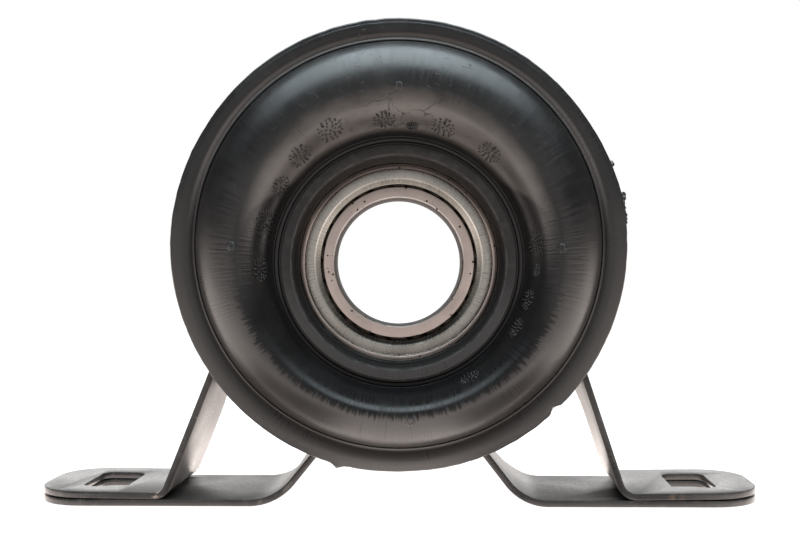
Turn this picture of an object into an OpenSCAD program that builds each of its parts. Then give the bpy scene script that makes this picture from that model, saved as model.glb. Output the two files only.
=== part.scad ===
// Driveshaft centre bearing: a moulded rubber cushion holds a shielded ball bearing,
// and two bent steel straps with slotted feet clasp the cushion.
// The bore axis lies along Y with the cushion's roll at the front, towards -Y.
// The feet spread along X, the origin is the middle of the bore, and Z is up.

/* [Bearing] */
// Bore diameter of the inner ring
bore_d = 30; // [29:0.1:31]
// Outside diameter of the outer ring
bearing_d = 47; // [46:0.1:49]
// Width of both rings
bearing_w = 12; // [10:0.1:14]
// Chamfer on the edges of both rings
ring_chamfer = 0.6; // [0.2:0.05:0.8]
// Ball diameter as a share of the height between bore and outside
ball_share = 0.56; // [0.5:0.01:0.6]
// Number of balls in the row
ball_count = 13; // [10:1:13]
// Depth of each ball groove as a share of the ball diameter
race_share = 0.195; // [0.15:0.005:0.24]
// Clearance between a ball and its grooves
ball_play = 0.05; // [0.05:0.01:0.1]

/* [Cage] */
// Thickness of the cage ribbon
cage_t = 0.4; // [0.3:0.05:0.5]
// Clearance between a ball and its pocket
pocket_play = 0.08; // [0.05:0.01:0.15]
// Clearance between the cage and the ring shoulders
cage_play = 0.25; // [0.15:0.05:0.4]
// Shank diameter of the cage rivets
rivet_d = 0.7; // [0.5:0.05:0.9]
// Head diameter of the cage rivets
rivet_head_d = 1.3; // [1.1:0.05:1.5]
// Head height of the cage rivets
rivet_head_h = 0.25; // [0.15:0.05:0.4]

/* [Shields] */
// Thickness of the shield sheet
shield_t = 0.35; // [0.2:0.05:0.5]
// Height of the shield's seat as a share of the outer ring's height at its shoulder
seat_share = 0.54; // [0.44:0.01:0.6]
// Depth of the shield's outer flat below the ring face
shield_recess = 0.35; // [0.2:0.05:0.6]
// Depth of the cone that dips from the outer flat towards the inner ring
shield_dip = 0.45; // [0.2:0.05:0.7]
// Width of the outer flat as a share of the shield's width
flat_share = 0.57; // [0.4:0.01:0.65]
// Length of the turned-in lip beside the inner ring
shield_lip = 1.4; // [0.8:0.05:1.5]
// Depth of the rolled rim that grips the seat
shield_rim = 0.9; // [0.6:0.05:1.1]
// Running gap between the shield's lip and the inner ring
shield_gap = 0.65; // [0.3:0.05:0.9]

/* [Bearing sleeve] */
// Wall thickness of the sleeve
sleeve_t = 1.2; // [0.8:0.1:2]
// How far the sleeve stands out in front of the bearing
sleeve_front = 1; // [0.5:0.1:3]
// Radial width of the stop flange behind the bearing
sleeve_stop = 1.1; // [0.6:0.1:1.6]

/* [Rubber cushion] */
// Height of the cushion's rim centre above the bore axis
ring_lift = 4; // [0:0.1:5]
// Depth of the mouth in front of the bearing
mouth_depth = 11; // [8:0.1:12]
// Width of the step from the bearing sleeve out to the mouth's wall
mouth_step = 0.85; // [0.4:0.05:1.2]
// Rubber in front of the bearing sleeve at the foot of the mouth
mouth_floor = 1; // [0.5:0.1:2]
// Width of the flat lip round the mouth
mouth_lip = 2.5; // [1.8:0.1:3.5]
// Width of the groove outside the lip
mouth_groove_w = 0.6; // [0.4:0.1:1.2]
// Depth of the groove outside the lip
mouth_groove = 0.8; // [0.4:0.1:1.2]
// Width of the raised line between the groove and the roll
mouth_line = 1.5; // [1:0.1:2]
// Width of the roll from the hub to its crest, averaged round the ring
roll_in_w = 7.4; // [6.5:0.1:9]
// Width of the roll from its crest to the rim
roll_out_w = 9.3; // [8:0.1:11]
// Height of the roll's crest above the rim
roll_rise = 6.7; // [5:0.1:8]
// Angle between the roll's flanks and the bore axis where they end
roll_edge_angle = 20; // [5:1:35]
// Thickness of the roll at its crest
roll_wall = 4.2; // [3:0.1:5]
// Width of the front rim outside the roll
rim_w = 5.7; // [5.5:0.1:7]
// Width of the bead on the front rim
bead_w = 4.4; // [3:0.1:4.6]
// Height of the bead above the rim's edge
bead_rise = 0.55; // [0.3:0.05:0.8]
// Width of the groove between the roll and the bead
rim_groove_w = 0.45; // [0.3:0.05:0.7]
// Rounding of the rims' edges
rim_edge = 0.6; // [0.3:0.1:0.8]
// Thickness of the front rim, in front of the strap
rim_t = 4.3; // [3:0.1:6]
// Thickness of the rear rim, behind the strap
rear_rim_t = 2.7; // [1.6:0.1:4]
// How far both rims stand above the strap's seat
rim_h = 2.45; // [1.8:0.05:3]
// Depth of the rounded end of the channel behind the roll
channel_arch = 11.3; // [8:0.1:14]
// Rubber under the strap's seat
seat_wall = 5.6; // [4:0.1:6.5]
// Rubber round the bearing sleeve
hub_wall = 5; // [4:0.1:5.5]

/* [Straps] */
// Thickness of the strap sheet
sheet_t = 1.5; // [1:0.1:2]
// Width of both straps along the bore axis
strap_w = 33; // [28:0.5:36]
// Height of the bore axis above the feet
axis_h = 55.8; // [54.5:0.1:60]
// Distance from the bore axis to the end of each foot
foot_reach = 84; // [80:0.5:95]
// Corner radius at the ends of the feet
foot_corner = 11.5; // [4:0.5:13]
// Upward splay of the upper strap's feet
foot_splay_angle = 0.8; // [0:0.1:1.5]
// Angle that the upper strap wraps below the horizontal on the left
left_wrap_angle = 30; // [26:0.1:34]
// Angle that the upper strap wraps below the horizontal on the right
right_wrap_angle = 30.3; // [26:0.1:34]
// Inside radius where the legs leave the cushion
leg_bend = 5; // [2:0.5:7]
// Lean of the left leg from the vertical
left_lean_angle = 21.4; // [14:0.1:24]
// Lean of the right leg from the vertical
right_lean_angle = 18.4; // [14:0.1:24]
// Inside radius of the bend into the left foot
left_foot_bend = 2.2; // [1:0.1:5]
// Inside radius of the bend into the right foot
right_foot_bend = 3.2; // [1:0.1:5]
// Angle that the lower strap follows the cushion on the left
left_cradle_angle = 18.1; // [14:0.1:21]
// Angle that the lower strap follows the cushion on the right
right_cradle_angle = 18.9; // [14:0.1:21]
// Inside radius where the lower strap leaves the cushion
cradle_bend = 3; // [1:0.5:4]
// Slope of the lower strap's left rise
left_rise_angle = 51; // [44:0.5:56]
// Slope of the lower strap's right rise
right_rise_angle = 52; // [44:0.5:56]
// Inside radius of the bend below the left rise
left_rise_bend = 12; // [2:0.5:14]
// Inside radius of the bend below the right rise
right_rise_bend = 11; // [2:0.5:14]

/* [Foot slots] */
// Distance between the middles of the two slots
slot_pitch = 138.4; // [134:0.2:144]
// Slot width across the foot
slot_w = 10.4; // [8:0.1:13]
// Slot length along the bore axis
slot_l = 18.8; // [14:0.1:21]
// Corner radius of the slots
slot_corner = 2.6; // [1:0.1:4]

/* [Fits] */
// Clearance between pieces that seat on each other
seat_gap = 0.05; // [0.05:0.01:0.1]

/* [Hidden] */
$fn = 96;
// Number of facets round the cushion
sides = 90;
// Number of steps along each flank of the roll
flank_steps = 6;
// Number of steps along a small rounding of the cushion
edge_steps = 3;
// Extra length of a cut past the faces it breaks through
past = 1;
// Largest angle of one facet along a bend of a strap
bend_facet = 3;

// Ball bearing
bore_r = bore_d / 2;
bearing_r = bearing_d / 2;
face_y = bearing_w / 2;
ball_r = ball_share * (bearing_r - bore_r) / 2;
race_depth = race_share * ball_r * 2;
pitch_r = (bore_r + bearing_r) / 2;
race_r = ball_r + ball_play;
inner_shoulder_r = pitch_r - ball_r + race_depth;
outer_shoulder_r = pitch_r + ball_r - race_depth;
ball_step = 360 / ball_count;
pocket_r = ball_r + pocket_play;
cage_in_r = inner_shoulder_r + cage_play;
cage_out_r = outer_shoulder_r - cage_play;
cage_reach = pocket_r + cage_t;

// Shields, with depths measured from the ring faces
seat_r = outer_shoulder_r + seat_share * (bearing_r - outer_shoulder_r);
shield_r = seat_r - seat_gap;
shield_in_r = inner_shoulder_r + shield_gap;
shield_cone_r = shield_r - flat_share * (shield_r - shield_in_r);
shield_rim_y = shield_recess + shield_rim;
shield_low = shield_recess + shield_dip;

// Bearing sleeve
sleeve_in_r = bearing_r + seat_gap;
sleeve_r = sleeve_in_r + sleeve_t;
sleeve_front_y = -face_y - sleeve_front;
stop_y = face_y + seat_gap;
sleeve_rear_y = stop_y + sleeve_t;

// Rubber cushion, from the hub outwards
hub_bore_r = (sleeve_r + seat_gap) / cos(180 / sides);
mouth_r = sleeve_in_r + mouth_step;
lip_r = mouth_r + mouth_lip;
groove_r = lip_r + mouth_groove_w;
hub_r = groove_r + mouth_line;
crest_r = hub_r + roll_in_w;
roll_r = crest_r + roll_out_w;
bead_r = roll_r + rim_groove_w + bead_w / 2;
bead_bend_r = (bead_w * bead_w / 4 + bead_rise * bead_rise) / (2 * bead_rise);
bead_half = asin(bead_w / 2 / bead_bend_r);
rim_r = roll_r + rim_w;
strap_seat_r = rim_r - rim_h;
strap_in_r = (strap_seat_r + seat_gap) / cos(bend_facet / 2);
channel_r = strap_seat_r - seat_wall;
hub_out_r = sleeve_r + hub_wall;
strap_y = strap_w / 2;
mouth_y = -face_y - mouth_depth;
rim_y = -strap_y - rim_t;
crest_y = rim_y - roll_rise;
rear_y = strap_y + rear_rim_t;
edge_y = rim_y + bead_rise + rim_edge;
channel_y = crest_y + roll_wall + channel_arch;

// Straps
foot_z = -axis_h;
upper_foot_z = foot_z + sheet_t + seat_gap;

ball_names = [for (i = [1 : ball_count]) str("ball_", i < 10 ? "0" : "", i)];

strap_colour = [0.2, 0.19, 0.19];
rubber_colour = [0.11, 0.11, 0.12];
sleeve_colour = [0.36, 0.36, 0.37];
ring_colour = [0.66, 0.62, 0.6];
shield_colour = [0.58, 0.59, 0.56];
cage_colour = [0.7, 0.68, 0.62];
ball_colour = [0.78, 0.79, 0.81];

// Solid of revolution about the bore axis, from a profile drawn with radius across and Y up
module turned() {
    rotate([-90, 0, 0]) rotate_extrude() children();
}

// Part of a turned profile between two radii and two places along the bore axis
module band(r0, r1, y0, y1) {
    translate([r0, y0]) square([r1 - r0, y1 - y0]);
}

// Repeats a shape at each ball, or half a step on, between the balls
module round_the_row(shift = 0) {
    for (i = [0 : ball_count - 1])
        rotate([0, -90 - (i + shift) * ball_step, 0]) translate([pitch_r, 0, 0]) children();
}

// Outline of a bent strap in the XZ plane, from the stations of its right and its left side
module strap_profile(right, left) {
    polygon(concat(
        lower_face(right), reversed(upper_face(right)),
        flipped(upper_face(left)), reversed(flipped(lower_face(left)))
    ));
}

// Extrudes a profile in the XZ plane over the width of the straps
module strap_width() {
    rotate([90, 0, 0]) linear_extrude(strap_w, center = true) children();
}

// Outline of one strap's feet seen from above, with its slots
module foot_plan() {
    difference() {
        rounded_plan(foot_reach * 2, strap_w, foot_corner);
        for (side = [-1, 1]) translate([side * slot_pitch / 2, 0]) rounded_plan(slot_w, slot_l, slot_corner);
    }
}

// Rectangle with rounded corners
module rounded_plan(w, l, r) {
    square([w - r * 2, l], center = true);
    square([w, l - r * 2], center = true);
    for (x = [-1, 1], y = [-1, 1]) translate([x * (w / 2 - r), y * (l / 2 - r)]) circle(r);
}

// Length of an upper strap's leg between its two bends
function leg_length(wrap, lean, foot_bend) = (
    ring_lift - strap_in_r * sin(wrap) - upper_foot_z
    - (leg_bend + sheet_t) * (sin(wrap) + sin(lean))
    - (foot_bend + sheet_t) * (1 - sin(lean))
) / cos(lean);

// Length of a lower strap's rise between its two bends
function rise_length(cradle, rise, rise_bend) = (
    ring_lift - strap_in_r - sheet_t - foot_z
    + (strap_in_r + sheet_t) * (1 - cos(cradle))
    - cradle_bend * (cos(cradle) - cos(rise))
    - (rise_bend + sheet_t) * (1 - cos(rise))
) / sin(rise);

// A point turned about a centre
function turned_about(p, centre, a) =
    let (d = p - centre) centre + [d.x * cos(a) - d.y * sin(a), d.x * sin(a) + d.y * cos(a)];

// Stations along a bent sheet as [point on its lower face, heading],
// after steps that are each [length] or [inside radius, turn to the left]
function stations(steps, p, h = 0, i = 0) =
    i == len(steps) ? [[p, h]] :
    len(steps[i]) == 1 ? concat([[p, h]], stations(steps, p + steps[i][0] * [cos(h), sin(h)], h, i + 1)) :
    let (
        turn = steps[i][1],
        centre = p + [-sin(h), cos(h)] * (turn > 0 ? sheet_t + steps[i][0] : -steps[i][0]),
        n = ceil(abs(turn) / bend_facet)
    )
    concat(
        [for (k = [0 : n - 1]) [turned_about(p, centre, turn * k / n), h + turn * k / n]],
        stations(steps, turned_about(p, centre, turn), h + turn, i + 1)
    );

function lower_face(side) = [for (s = side) s[0]];
function upper_face(side) = [for (s = side) s[0] + sheet_t * [-sin(s[1]), cos(s[1])]];
function reversed(points) = [for (i = [len(points) - 1 : -1 : 0]) points[i]];
function flipped(points) = [for (i = [1 : len(points) - 1]) [-points[i].x, points[i].y]];

// One side of the upper strap, from the top of the cushion to past the end of the foot
function upper_side(wrap, lean, foot_bend) = stations([
    [strap_in_r, -90 - wrap],
    [leg_bend, wrap + lean],
    [leg_length(wrap, lean, foot_bend)],
    [foot_bend, 90 - lean + foot_splay_angle],
    [foot_reach]
], [0, ring_lift + strap_in_r]);

// One side of the lower strap, from the bottom of the cushion to past the end of the foot
function lower_side(cradle, rise, rise_bend) = stations([
    [strap_in_r, cradle],
    [cradle_bend, -cradle - rise],
    [rise_length(cradle, rise, rise_bend)],
    [rise_bend, rise],
    [foot_reach]
], [0, ring_lift - strap_in_r - sheet_t]);

// Trims a strap to the outline of its feet
module trimmed() {
    intersection() {
        children();
        translate([0, 0, -axis_h - past]) linear_extrude(axis_h * 2 + ring_lift + past * 2) foot_plan();
    }
}

module upper_strap() {
    color(strap_colour) trimmed() strap_width() strap_profile(
        upper_side(right_wrap_angle, right_lean_angle, right_foot_bend),
        upper_side(left_wrap_angle, left_lean_angle, left_foot_bend)
    );
}

module lower_strap() {
    color(strap_colour) trimmed() strap_width() strap_profile(
        lower_side(right_cradle_angle, right_rise_angle, right_rise_bend),
        lower_side(left_cradle_angle, left_rise_angle, left_rise_bend)
    );
}

// Points along an arc of an ellipse, as [radius, Y]
function arc(centre, half, from, to, steps) = [
    for (k = [0 : steps])
        let (a = from + (to - from) * k / steps) centre + [half.x * cos(a), half.y * sin(a)]
];

// Points up or down one flank of the roll, as wide and as high as given, ending at the flank's edge angle
function flank(w, h, from, to) =
    let (half = [w / cos(roll_edge_angle), h / (1 - sin(roll_edge_angle))])
    arc([crest_r, crest_y + half.y], half, from, to, flank_steps);

// Closed section of the cushion, from the mouth over the roll and round the strap's seat to the bore
cushion_section = concat(
    [[mouth_r, mouth_y], [lip_r, mouth_y]],
    [[(lip_r + groove_r) / 2, mouth_y + mouth_groove], [groove_r, mouth_y]],
    flank(roll_in_w, mouth_y - crest_y, 180 + roll_edge_angle, 270),
    [for (k = [1 : flank_steps]) flank(roll_out_w, roll_rise, 270, 360 - roll_edge_angle)[k]],
    arc([bead_r, rim_y + bead_bend_r], [bead_bend_r, bead_bend_r], 270 - bead_half, 270 + bead_half,
        flank_steps),
    arc([rim_r - rim_edge, edge_y], [rim_edge, rim_edge], -90, 0, edge_steps),
    [[rim_r, -strap_y - seat_gap], [strap_seat_r, -strap_y - seat_gap]],
    [[strap_seat_r, strap_y + seat_gap], [rim_r, strap_y + seat_gap]],
    arc([rim_r - rim_edge, rear_y - rim_edge], [rim_edge, rim_edge], 0, 90, edge_steps),
    arc([channel_r + rim_edge, rear_y - rim_edge], [rim_edge, rim_edge], 90, 180, edge_steps),
    arc([crest_r, channel_y], [channel_r - crest_r, channel_arch], 0, -90, flank_steps),
    [for (k = [1 : flank_steps]) arc([crest_r, channel_y], [crest_r - hub_out_r, channel_arch], -90, -180,
        flank_steps)[k]],
    arc([hub_out_r - rim_edge, sleeve_rear_y - rim_edge], [rim_edge, rim_edge], 0, 90, edge_steps),
    [[hub_bore_r, sleeve_rear_y], [hub_bore_r, sleeve_front_y - seat_gap]],
    [[sleeve_in_r, sleeve_front_y - seat_gap], [sleeve_in_r, sleeve_front_y - mouth_floor]],
    [[mouth_r, sleeve_front_y - mouth_floor]]
);

// Height of a section's centre at a radius: on the bore axis at the hub, and lifted at the rim
function lift(r) = ring_lift * sin(90 * min(1, max(0, (r - hub_r) / (roll_r - hub_r))));

module rubber_cushion() {
    n = len(cushion_section);
    points = [for (p = cushion_section, j = [0 : sides - 1])
        let (a = (j + 0.5) * 360 / sides) [p.x * cos(a), p.y, p.x * sin(a) + lift(p.x)]];
    faces = [for (i = [0 : n - 1], j = [0 : sides - 1], half = [0, 1])
        let (i1 = (i + 1) % n, j1 = (j + 1) % sides)
        half == 0 ? [i * sides + j, i * sides + j1, i1 * sides + j1]
            : [i * sides + j, i1 * sides + j1, i1 * sides + j]];
    color(rubber_colour) polyhedron(points, faces);
}

module bearing_sleeve() {
    color(sleeve_colour) turned() {
        band(sleeve_in_r, sleeve_r, sleeve_front_y, sleeve_rear_y);
        band(sleeve_r - sleeve_t - sleeve_stop, sleeve_r, stop_y, sleeve_rear_y);
    }
}

// Section of a ring with its ball groove cut and four edges broken
module ring_section(r0, r1, chamfer_r) {
    difference() {
        band(r0, r1, -face_y, face_y);
        translate([pitch_r, 0]) circle(race_r);
        for (y = [-face_y, face_y]) translate([chamfer_r, y]) rotate(45)
            square(ring_chamfer * sqrt(2), center = true);
    }
}

module outer_ring() {
    color(ring_colour) turned() difference() {
        ring_section(outer_shoulder_r, bearing_r, bearing_r);
        for (side = [-1, 1]) mirror([0, side > 0 ? 0 : 1])
            band(outer_shoulder_r - past, seat_r, face_y - shield_rim_y, face_y + past);
    }
}

module inner_ring() {
    color(ring_colour) turned() ring_section(bore_r, inner_shoulder_r, bore_r);
}

// Pressed shield in the seat of the front face
module shield() {
    translate([0, -face_y, 0]) turned() {
        band(shield_r - shield_t, shield_r, shield_recess, shield_rim_y - seat_gap);
        band(shield_cone_r, shield_r, shield_recess, shield_recess + shield_t);
        polygon([
            [shield_cone_r, shield_recess], [shield_cone_r, shield_recess + shield_t],
            [shield_in_r, shield_low + shield_t], [shield_in_r, shield_low]
        ]);
        band(shield_in_r, shield_in_r + shield_t, shield_low, shield_low + shield_lip);
    }
}

module front_shield() {
    color(shield_colour) shield();
}

module rear_shield() {
    color(shield_colour) mirror([0, 1, 0]) shield();
}

// Front half of the ribbon cage: a flat ring with a pocket pressed round each ball
module cage_half() {
    difference() {
        union() {
            turned() band(cage_in_r, cage_out_r, -cage_t, 0);
            intersection() {
                turned() band(cage_in_r, cage_out_r, -cage_reach, 0);
                round_the_row() upright_ball(cage_reach);
            }
        }
        round_the_row() upright_ball(pocket_r);
        round_the_row(0.5) rotate([90, 0, 0])
            cylinder(d = rivet_d + seat_gap * 2, h = (cage_t + past) * 2, center = true);
    }
}

// Sphere with its poles along the bore axis
module upright_ball(r) {
    rotate([90, 0, 0]) sphere(r);
}

module cage_front() {
    color(cage_colour) cage_half();
}

module cage_rear() {
    color(cage_colour) mirror([0, 1, 0]) cage_half();
}

module cage_rivets() {
    color(cage_colour) round_the_row(0.5) rotate([90, 0, 0]) {
        cylinder(d = rivet_d, h = (cage_t + rivet_head_h) * 2, center = true);
        for (side = [0, 1]) mirror([0, 0, side]) translate([0, 0, cage_t])
            cylinder(d = rivet_head_d, h = rivet_head_h);
    }
}

module ball(i) {
    color(ball_colour) rotate([0, -90 - i * ball_step, 0]) translate([pitch_r, 0, 0]) upright_ball(ball_r);
}

upper_strap();
lower_strap();
rubber_cushion();
bearing_sleeve();
outer_ring();
inner_ring();
front_shield();
rear_shield();
cage_front();
cage_rear();
cage_rivets();
for (i = [0 : ball_count - 1])
    ball(i);
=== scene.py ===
"""Driveshaft centre bearing: finished surfaces, studio and camera in the part's own frame."""
import math
import random

import bmesh
import bpy
from mathutils import Matrix, Vector, noise


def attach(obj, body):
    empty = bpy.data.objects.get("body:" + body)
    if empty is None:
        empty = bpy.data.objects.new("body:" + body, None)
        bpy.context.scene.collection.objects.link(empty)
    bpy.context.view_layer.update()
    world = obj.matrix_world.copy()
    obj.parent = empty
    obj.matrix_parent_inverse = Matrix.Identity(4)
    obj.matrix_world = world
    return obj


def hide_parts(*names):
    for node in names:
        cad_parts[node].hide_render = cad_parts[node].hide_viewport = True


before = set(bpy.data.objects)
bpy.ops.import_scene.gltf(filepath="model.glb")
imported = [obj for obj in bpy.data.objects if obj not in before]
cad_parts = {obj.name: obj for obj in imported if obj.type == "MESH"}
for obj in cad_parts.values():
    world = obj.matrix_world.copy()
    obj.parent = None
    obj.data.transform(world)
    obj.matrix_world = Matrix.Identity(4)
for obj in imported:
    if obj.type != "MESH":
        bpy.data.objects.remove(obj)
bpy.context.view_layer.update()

# Sizes in millimetres, as in the construction
MM = 0.001
GAP = 0.05  # between pieces that touch

# Ball bearing
BORE_R = 15.0
BORE_CHAMFER = 0.35  # finer than in the construction
BEARING_R = 23.5
FACE_Y = 6.0
BALL_R = 0.56 * (BEARING_R - BORE_R) / 2
PITCH_R = (BORE_R + BEARING_R) / 2
RACE_R = BALL_R + 0.05
RACE_DEPTH = 0.195 * BALL_R * 2
INNER_SHOULDER_R = PITCH_R - BALL_R + RACE_DEPTH
OUTER_SHOULDER_R = PITCH_R + BALL_R - RACE_DEPTH
SHIELD_T = 0.35
SHIELD_RECESS = 0.35
SHIELD_DIP = 0.45
SHIELD_LIP = 1.4
SHIELD_RIM = 0.9
SEAT_R = OUTER_SHOULDER_R + 0.54 * (BEARING_R - OUTER_SHOULDER_R)
SHIELD_R = SEAT_R - 0.05
SHIELD_IN_R = INNER_SHOULDER_R + 0.65
SHIELD_CONE_R = SHIELD_R - 0.57 * (SHIELD_R - SHIELD_IN_R)  # the shield dips inside this

# Sleeve round the bearing
SLEEVE_T = 1.2
SLEEVE_IN_R = BEARING_R + GAP
SLEEVE_R = SLEEVE_IN_R + SLEEVE_T
SLEEVE_FRONT_Y = -FACE_Y - 1
STOP_Y = FACE_Y + GAP
SLEEVE_REAR_Y = STOP_Y + SLEEVE_T
STOP_R = SLEEVE_IN_R - 1.1

# Rubber cushion
RING_LIFT = 4.0  # the rim's centre above that of the bore
MOUTH_R = SLEEVE_IN_R + 0.85
MOUTH_FLOOR = 1.0
LIP_R = MOUTH_R + 2.5
GROOVE_R = LIP_R + 0.6
HUB_R = GROOVE_R + 1.5
CREST_R = HUB_R + 7.4
ROLL_R = CREST_R + 9.3
RIM_R = ROLL_R + 5.7
RIM_EDGE = 0.6
STRAP_SEAT_R = RIM_R - 2.45
CHANNEL_R = STRAP_SEAT_R - 5.6
HUB_OUT_R = SLEEVE_R + 5
HUB_BORE_R = SLEEVE_R + GAP
STRAP_Y = 16.5
MOUTH_Y = -FACE_Y - 11
RIM_Y = -STRAP_Y - 4.3
CREST_Y = RIM_Y - 6.7
REAR_Y = STRAP_Y + 2.7
CHANNEL_ARCH = 11.3
CHANNEL_Y = CREST_Y + 4.2 + CHANNEL_ARCH
EDGE_ANGLE = math.radians(20)  # of the ellipse at the foot of a flank

# Straps
SHEET_T = 1.5
FOOT_Z = -55.8
FOOT_TOP_Z = FOOT_Z + SHEET_T
FOOT_REACH = 84.0
FOOT_CORNER = 11.5
FOOT_SPLAY = 0.8
STRAP_IN_R = STRAP_SEAT_R + 0.07
SLOT_X = 69.2
SLOT_W = 10.4
SLOT_L = 18.8
SLOT_CORNER = 2.6


# Mesh helpers

def clamped(value):
    return min(1, max(0, value))


def add_object(name, data):
    obj = bpy.data.objects.new(name, data)
    bpy.context.scene.collection.objects.link(obj)
    return obj


def smooth(obj, sharp):
    """Smooth shading apart from edges sharper than the given angle."""
    obj.data.polygons.foreach_set("use_smooth", [True] * len(obj.data.polygons))
    obj.data.set_sharp_from_angle(angle=math.radians(sharp))


def make_object(name, verts, faces, sharp=32):
    """Mesh object from points in millimetres, with its normals outwards."""
    mesh = bpy.data.meshes.new(name)
    mesh.from_pydata([[c * MM for c in v] for v in verts], [], faces)
    bm = bmesh.new()
    bm.from_mesh(mesh)
    bmesh.ops.recalc_face_normals(bm, faces=bm.faces)
    bm.to_mesh(mesh)
    bm.free()
    obj = add_object(name, mesh)
    smooth(obj, sharp)
    return obj


def corner(before, at, after, radius, steps):
    """Arc that takes the place of a corner, smaller where the sides are too short for it."""
    u, v = (before - at).normalized(), (after - at).normalized()
    half = u.angle(v) / 2
    reach = min(radius / math.tan(half), 0.48 * (before - at).length, 0.48 * (after - at).length)
    radius = reach * math.tan(half)
    centre = at + (u + v).normalized() * radius / math.sin(half)
    start, end = at + u * reach - centre, at + v * reach - centre
    first = math.atan2(start.y, start.x)
    sweep = (math.atan2(end.y, end.x) - first + math.pi) % (2 * math.pi) - math.pi
    angles = [first + sweep * k / steps for k in range(steps + 1)]
    return [(centre.x + radius * math.cos(a), centre.y + radius * math.sin(a)) for a in angles]


def rounded(section, steps=4):
    """Closed section in which each [r, y, radius] corner becomes an arc."""
    out = []
    count = len(section)
    for i, point in enumerate(section):
        if len(point) == 2:
            out.append(tuple(point))
        else:
            near = [Vector(section[k % count][:2]) for k in (i - 1, i, i + 1)]
            out += corner(*near, point[2], steps)
    return out


def arc(centre, half, start, stop, steps):
    """Points along an arc of an ellipse, with angles in degrees."""
    angles = (math.radians(start + (stop - start) * k / steps) for k in range(steps + 1))
    return [(centre[0] + half[0] * math.cos(a), centre[1] + half[1] * math.sin(a)) for a in angles]


def circle_arc(centre, radius, start, stop, steps):
    return arc(centre, (radius, radius), start, stop, steps)


def loft(name, section, angles, place, sharp=32):
    """Closed section carried round the bore axis, each point set by place(r, y, angle)."""
    count, turns = len(section), len(angles)
    verts = [place(r, y, a) for r, y in section for a in angles]
    faces = []
    for i in range(count):
        for j in range(turns):
            i1, j1 = (i + 1) % count, (j + 1) % turns
            faces.append((i * turns + j, i * turns + j1, i1 * turns + j1, i1 * turns + j))
    return make_object(name, verts, faces, sharp)


def on_axis(r, y, angle):
    return (r * math.cos(angle), y, r * math.sin(angle))


def lathe(name, section, segments=256):
    return loft(name, section, [2 * math.pi * k / segments for k in range(segments)], on_axis)


# Shader helpers

class Nodes:
    """A node tree with short calls for the nodes used here."""

    def __init__(self, tree):
        self.tree = tree

    def add(self, kind, **settings):
        made = self.tree.nodes.new(kind)
        for key, value in settings.items():
            setattr(made, key, value)
        return made

    def put(self, socket, value):
        """Links a socket, or sets a constant."""
        if isinstance(value, bpy.types.NodeSocket):
            self.tree.links.new(value, socket)
        else:
            socket.default_value = value

    def put_all(self, sockets, *values):
        for socket, value in zip(sockets, values):
            self.put(socket, value)

    def math(self, operation, a, b=0.0):
        made = self.add("ShaderNodeMath", operation=operation)
        self.put_all(made.inputs, a, b)
        return made.outputs[0]

    def chain(self, operation, values):
        total = values[0]
        for value in values[1:]:
            total = self.math(operation, total, value)
        return total

    def product(self, *values):
        return self.chain("MULTIPLY", values)

    def sum(self, *values):
        return self.chain("ADD", values)

    def most(self, *values):
        return self.chain("MAXIMUM", values)

    def minus(self, a, b):
        return self.math("SUBTRACT", a, b)

    def magnitude(self, value):
        return self.math("ABSOLUTE", value)

    def ramp(self, value, low, high, to_low=0.0, to_high=1.0):
        """Smooth step of a value between two limits."""
        made = self.add("ShaderNodeMapRange", interpolation_type="SMOOTHSTEP")
        self.put_all(made.inputs, value, low, high, to_low, to_high)
        return made.outputs[0]

    def fall(self, value, low, high):
        """Smooth step down from 1 to 0."""
        return self.ramp(value, low, high, 1.0, 0.0)

    def band(self, value, low, high, edge):
        """1 between two limits, with soft edges outside them."""
        return self.product(self.ramp(value, low - edge, low), self.fall(value, high, high + edge))

    def vector(self, x, y, z):
        made = self.add("ShaderNodeCombineXYZ")
        self.put_all(made.inputs, x, y, z)
        return made.outputs[0]

    def split(self, vector):
        made = self.add("ShaderNodeSeparateXYZ")
        self.put(made.inputs[0], vector)
        return made.outputs

    def light(self, kind, colour, strength):
        made = self.add(kind)
        self.put(made.inputs["Color"], colour)
        self.put(made.inputs["Strength"], strength)
        return made.outputs[0]

    def pick(self, for_camera, for_others):
        """One shader for what the camera sees and another for reflections and light."""
        made = self.add("ShaderNodeMixShader")
        is_camera = self.add("ShaderNodeLightPath").outputs["Is Camera Ray"]
        self.put_all(made.inputs, is_camera, for_others, for_camera)
        return made.outputs[0]


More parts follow.
